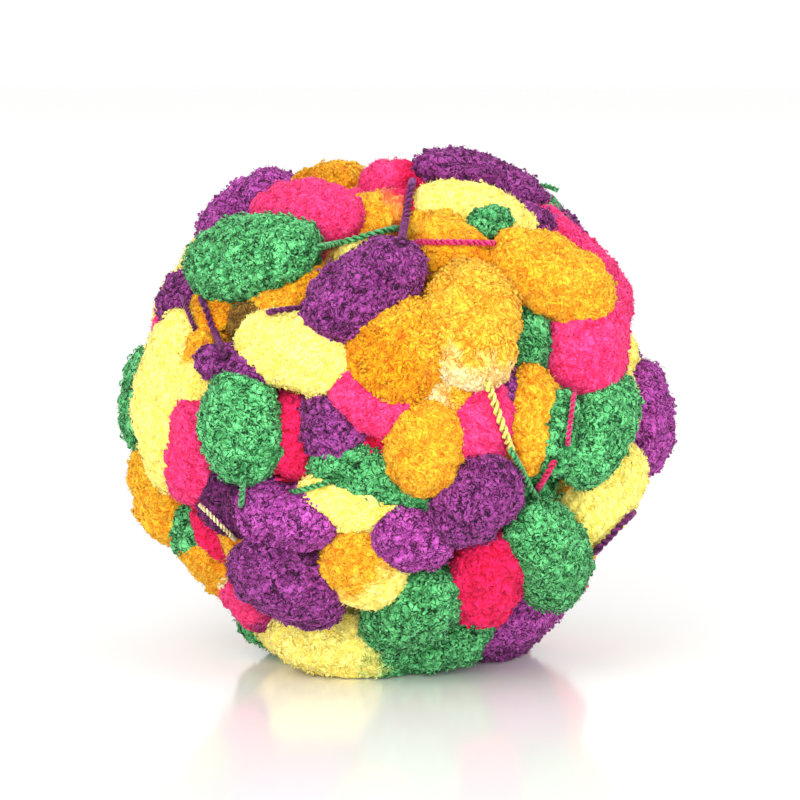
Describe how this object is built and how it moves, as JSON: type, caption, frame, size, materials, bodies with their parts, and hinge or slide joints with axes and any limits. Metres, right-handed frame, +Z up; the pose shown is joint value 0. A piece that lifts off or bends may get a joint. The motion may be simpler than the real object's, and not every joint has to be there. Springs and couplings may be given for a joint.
{
  "type": "ball of pompom yarn",
  "caption": "Round ball of wound pompom yarn: fat fleecy pompoms in bright colours on one thin twisted thread, with a loose end and a small flat spot to rest on.",
  "frame": {"origin": "the middle of the flat spot that the ball rests on", "axes": "+Z up from the table, -Y towards the front of the ball, +X to the right seen from the front"},
  "size_m": [0.1846, 0.1837, 0.1698],
  "materials": {
    "fleece": "matt fleece pile, dyed in lengths of pink, purple, green, orange and yellow",
    "twisted_thread": "matt two-ply twisted thread, dyed like the fleece beside it"
  },
  "bodies": {
    "root": {"wound_yarn": "fleece", "loose_end": "twisted_thread"}
  },
  "joints": []
}
